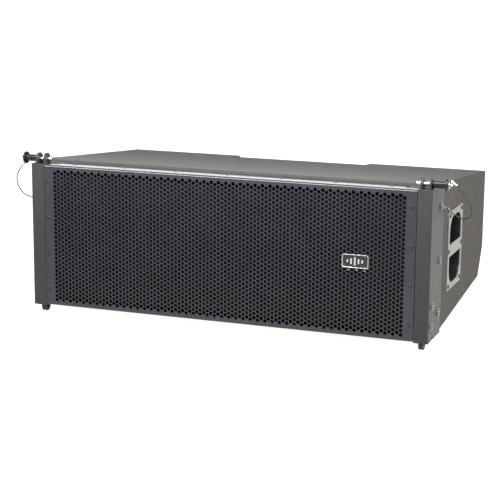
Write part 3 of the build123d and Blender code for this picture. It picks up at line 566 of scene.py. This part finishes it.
sheet_half, fold = 372.0, 5.0
sheet_low, sheet_high = 17.0, 297.0
field_half = (columns - 1) / 2 * column_step
first_low, first_high = lowest - pitch_z / 2, lowest + pitch_z * (rows - 0.5)
for v in grille.data.vertices:
    if not v.select:
        continue
    x, z = v.co.x / mm, v.co.z / mm
    at_side = abs(x) > field_half + 1
    at_end = z < first_low + 0.2 or z > first_high - 0.2
    if at_side:
        v.co.x = math.copysign(sheet_half, x) * mm
    if (at_side and at_end and abs(x) < field_half + tile_corner - 1) or not at_side:
        v.co.z = (sheet_low + fold if z < middle else sheet_high - fold) * mm
edit_all(grille)
bpy.ops.mesh.remove_doubles(threshold=0.02 * mm)
done()
if sum(f.normal.y for f in grille.data.polygons) > 0:
    grille.data.flip_normals()
print("sheet:", 2 * sheet_half, "x", sheet_high - sheet_low, "mm")

# %% [markdown]
# ## Folds
# The sheet turns back over the top and bottom of the cabinet in a tight round fold, which the screws go
# through.  A bevel would need a corner to work on, and there is none yet, so the edge is spun through a
# quarter turn and the flange is extruded from its end.  Solidify then gives the steel its thickness.

# %% Folds of the grille
flange_step, flange_depth, steel = 14.0, 32.0, 1.5
for sign, edge in ((1, sheet_high), (-1, sheet_low)):
    bend_z = edge - sign * fold
    choose(grille, "EDGE", lambda at, e: abs(at.z - bend_z) < 0.01 and abs(at.y - front) < 0.01)
    bpy.ops.mesh.spin(steps=5, angle=sign * math.pi / 2, center=(0, (front + fold) * mm, bend_z * mm),
                      axis=(1, 0, 0))
    done()
    ends = [v.co.z / mm for v in grille.data.vertices if v.select]
    print("fold ends at", round(min(ends), 2), round(max(ends), 2))
    for start_y, step in ((front + fold, flange_step - fold), (front + flange_step, flange_depth)):
        choose(grille, "EDGE", lambda at, e: abs(at.z - edge) < 0.02 and abs(at.y - start_y) < 0.02)
        bpy.ops.mesh.extrude_edges_move(TRANSFORM_OT_translate={"value": (0, step * mm, 0)})
        done()
choose(grille, "FACE",
       lambda at, f: abs(at.x) > field_half + tile_corner and at.y > front + flange_step + 0.5)
bpy.ops.mesh.delete(type="FACE")
done()
edit_all(grille)
bpy.ops.mesh.normals_make_consistent(inside=False)
done()
if sum(f.normal.y for f in grille.data.polygons if abs(f.center.y / mm - front) < 0.1) > 0:
    grille.data.flip_normals()
modify(grille, "SOLIDIFY", thickness=steel * mm, offset=-1)
bpy.ops.object.shade_smooth_by_angle(angle=math.radians(35))
place(grille, "cabinet", ("grille",), "grille_steel")

# %% [markdown]
# ## Foam behind the grille
# A thin sheet of open foam lies behind the steel and keeps dust out.  Only its darkness shows through the
# holes, but a flat plane would look like card from close by, so a fine grid gets a real uneven surface.

# %% Foam
low, high = (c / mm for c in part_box("grille_foam"))
foam = block("foam_mat", low, high)
choose(foam, "FACE", lambda at, f: f.normal.y < -0.9)
bpy.ops.mesh.subdivide(number_cuts=60)
done()
lumps = bpy.data.textures.new("foam lumps", "CLOUDS")
lumps.noise_scale = 9 * mm
modify(foam, "DISPLACE", texture=lumps, strength=0.8 * mm, mid_level=1.0, texture_coords="LOCAL")
bpy.ops.object.shade_smooth_by_angle(angle=math.radians(40))
place(foam, "cabinet", ("grille_foam",), "black_foam")

# %% [markdown]
# ## Steel pieces with softened edges
# Cut and folded steel never has a perfectly sharp edge: a small radius shows as a thin line of light.  The
# frame's own meshes are loose triangles and are left alone, so a copy of each is merged, its flat faces are
# dissolved into one, and a bevel rounds what is still sharp.

# %% Softened copies
def softened(node, width):
    """Stands a copy of the node, its edges rounded by this many millimetres, in the node's place."""
    source = nodes[node]
    piece = bpy.data.objects.new(node + "_piece", source.data.copy())
    bpy.context.scene.collection.objects.link(piece)
    edit_all(piece)
    bpy.ops.mesh.remove_doubles(threshold=0.001 * mm)
    bpy.ops.mesh.dissolve_limited(angle_limit=math.radians(0.5))
    done()
    soften(piece, width)
    place(piece, source["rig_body"], (node,), slot_of[node])


edge_widths = {"corner_angle": 0.6, "ear_plates": 0.7, "link_tongue": 0.9, "handle_plate": 0.3,
               "handle_cup": 0.4}
for side in ("left", "right"):
    for part, width in edge_widths.items():
        softened(side + "_" + part, width)
for node in ("rigging_blocks", "rear_bracket", "splay_link", "input_plate", "input_sockets"):
    softened(node, 0.5)

# %% [markdown]
# ## Bolts and screws
# The corner angles are held by round button-head bolts with a six-sided socket.  Each kind of head is
# modelled once from a cylinder: its rim is bevelled into a dome, and a boolean sinks the socket, because an
# inset would follow the rim's round outline and not the socket's six sides.

# %% One head of each kind
def fastener(name, radius, height, socket_radius, socket_sides, depth, washer=0.0):
    """A round head that stands on the origin along +Z, with a sunk drive."""
    head = drum(name, (0, 0, height / 2), radius, height, "z", sides=24)
    choose(head, "EDGE", lambda at, e: at.z > height - 0.01)
    bpy.ops.mesh.bevel(offset=height * 0.75 * mm, segments=4)
    done()
    cut(head, drum("drive", (0, 0, height), socket_radius, 2 * depth, "z", sides=socket_sides))
    if washer:
        cut(head, drum("washer", (0, 0, washer / 2), radius * 1.28, washer, "z", sides=24), "UNION")
    soften(head, 0.12, segments=1, angle=40)
    return head


print("heads ready")

# %% [markdown]
# ## Heads in their places
# Every bolt and screw of the frame gets a head that faces away from its surface.  Parented copies would be
# quicker to place, but each piece has to stay a plain mesh at the origin, so the copies are turned and moved
# in their meshes and joined into one piece for each kind.

# %% Copies of a head
facing = {"right": Matrix.Rotation(math.pi / 2, 4, "Y"), "left": Matrix.Rotation(-math.pi / 2, 4, "Y"),
          "front": Matrix.Rotation(math.pi / 2, 4, "X"), "back": Matrix.Rotation(-math.pi / 2, 4, "X"),
          "up": Matrix.Identity(4), "down": Matrix.Rotation(math.pi, 4, "X")}


def scatter(name, head, spots, stands_for, material=None):
    """Copies of one head at every (place, way it faces), joined into one piece."""
    copies = [copied(head, spot, facing[way]) for spot, way in spots]
    bpy.data.objects.remove(head)
    place(join(copies, name), "cabinet", stands_for, "black_screws", material)


print("ways to face:", ", ".join(facing))

# %% Bolts of the corner angles
sides = (("left", -1), ("right", 1))
angle_face, angle_foot = 400, 16.0
bolts = []
for way, sign in sides:
    bolts += [((sign * angle_face, front + 70, angle_foot + z), way) for z in (43, 141, 241)]
    bolts += [((sign * angle_face, front + 21, angle_foot + z), way) for z in (29, 65)]
scatter("angle_bolts", fastener("bolt", 6.6, 3.2, 2.4, 6, 1.6, washer=0.9), bolts,
        ("rigging_fasteners",), zinc)

# %% Screws of the grille
screws = [((sign * 364.5, front, angle_foot + z), "front") for sign in (-1, 1) for z in (33, 105, 177, 249)]
for x in range(-318, 319, 106):
    screws += [((x, front + 28, sheet_high), "up"), ((x, front + 28, sheet_low), "down")]
scatter("grille_screw_heads", fastener("screw", 3.4, 1.5, 1.2, 6, 0.8), screws, ("grille_screws",))

# %% Screws of the handles and the rear plates
plate_low, plate_high = (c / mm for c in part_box("right_handle_plate"))
plate_y, plate_z = (plate_low.y + plate_high.y) / 2, (plate_low.z + plate_high.z) / 2
plate_face, bracket_face, input_face = 398, 200.75, 198.75
handle_holes = ((-48.5, 68.5), (48.5, 68.5), (-53.3, 0), (53.3, 0), (-48.5, -68.5), (48.5, -68.5))
plate_screws = [((sign * plate_face, plate_y + dy, plate_z + dz), way) for way, sign in sides
                for dy, dz in handle_holes]
plate_screws += [((dx, bracket_face, 158 + dz), "back") for dx in (-25, 25) for dz in (-75, 75)]
plate_screws += [((-85 + dx, input_face, 156 + dz), "back") for dx in (-44, 44) for dz in (-34, 34)]
scatter("panel_screw_heads", fastener("panel screw", 4.0, 1.9, 1.4, 4, 1.0), plate_screws, ("panel_screws",))

# %% [markdown]
# ## Badge
# A small plate on the grille carries the maker's sign on the real thing.  A plain sign of five bars, like a
# level meter, takes its place.  The plate is a block with rounded corners and an inset leaves its bright rim.
# The bars stand on it, and three short marks lie below it.  The dark field is a plate of its own, because a
# colour border drawn inside one material would be less crisp.

# %% Badge
def rounded_plate(name, low, high, radius):
    """A block whose four corners, seen from the front, are rounded by this radius."""
    plate = block(name, low, high)
    centre_y = (low[1] + high[1]) / 2
    choose(plate, "EDGE", lambda at, e: abs(at.y - centre_y) < 0.01)
    bpy.ops.mesh.bevel(offset=radius * mm, segments=5)
    done()
    return plate


rim = rounded_plate("badge_rim", (236, front - 2.5, 146), (286, front, 171), 3.0)
choose(rim, "FACE", lambda at, f: f.normal.y < -0.9)
bpy.ops.mesh.inset(thickness=1.0 * mm, depth=0)
bpy.ops.mesh.inset(thickness=0.3 * mm, depth=-0.9 * mm)
done()
soften(rim, 0.25)
bars = [rim]
for i, tall in enumerate((5, 11, 16, 9, 6)):
    x = 246.5 + i * 7.0
    bars.append(rounded_plate("bar", (x - 1.6, front - 2.2, 158.5 - tall / 2),
                              (x + 1.6, front - 1.2, 158.5 + tall / 2), 1.2))
for x in (248, 264, 279):
    bars.append(rounded_plate("mark", (x - 1.8, front - 0.6, 141.2), (x + 1.8, front + 0.2, 142.6), 0.4))
place(join(bars, "badge_bright"), "cabinet", ("badge",), "badge_metal", bright)
panel = rounded_plate("badge_panel", (237.6, front - 1.75, 147.6), (284.4, front - 0.4, 169.4), 1.8)
place(panel, "cabinet", (), "badge_metal")

# %% [markdown]
# ## Floor
# A product is often shot on a light table, a white sheet lit from below, so that nothing of the floor shows
# but white.  Strong lights from above could whiten a plain floor too, but they would wash out black paint.
# So the floor glows by itself, just short of full white, and the weak light from above does the rest.

# %% Floor
bpy.ops.object.select_all(action="DESELECT")
bpy.ops.mesh.primitive_plane_add(size=120, location=(0, 0, 0))
floor = settled("floor")
floor_paint = finish("floor", (0.30, 0.30, 0.30), 0.9, mottle=0.0, grain=4, relief=0.0, gloss_change=0.02)
glow = floor_paint.node_tree.nodes["Principled BSDF"]
glow.inputs["Emission Color"].default_value = (1, 1, 1, 1)
glow.inputs["Emission Strength"].default_value = 0.97
coat(floor, floor_paint)
print("floor:", floor.name, "glows at", round(glow.inputs["Emission Strength"].default_value, 2))

# %% [markdown]
# ## Light
# Black things are lit by what they reflect.  A narrow strip over the front makes the steel lighter at its top
# than at its foot, a slightly warm soft box lights the right side, and a wide one behind draws the top's far
# edge.  A weak, very soft sun and a weak sky fill in the rest, where more area lights would add reflections.

# %% Light
def soft_light(name, spot, target, width, height, power, tint=(1, 1, 1)):
    """A rectangular light that faces its target.  Places and sizes are in metres, power in watts."""
    light = bpy.data.lights.new(name, "AREA")
    light.shape = "RECTANGLE"
    light.size, light.size_y = width, height
    light.energy = power
    light.color = tint
    lamp = bpy.data.objects.new(name, light)
    bpy.context.scene.collection.objects.link(lamp)
    lamp.location = spot
    lamp.rotation_euler = (Vector(target) - Vector(spot)).to_track_quat("-Z", "Y").to_euler()


soft_light("strip over the front", (0.0, -0.50, 0.66), (0, -0.24, 0.25), 1.3, 0.12, 24, (0.95, 0.96, 1))
soft_light("right side", (2.0, -0.2, 1.1), (0.4, -0.1, 0.2), 1.0, 1.0, 48, (1, 0.92, 0.82))
soft_light("behind", (-1.2, 3.4, 1.6), (0, -0.2, 0.3), 5.0, 1.8, 70)
day = bpy.data.lights.new("ceiling", "SUN")
day.energy = 0.6
day.angle = math.radians(50)
ceiling = bpy.data.objects.new("ceiling", day)
bpy.context.scene.collection.objects.link(ceiling)
ceiling.rotation_euler = (math.radians(-6), math.radians(8), 0)
sky = bpy.data.worlds.new("sky")
bpy.context.scene.world = sky
sky.use_nodes = True
sky.node_tree.nodes["Background"].inputs["Color"].default_value = (1, 1, 1, 1)
sky.node_tree.nodes["Background"].inputs["Strength"].default_value = 0.25
bpy.context.scene.view_settings.view_transform = "Standard"
print("lights:", len(bpy.data.lights))
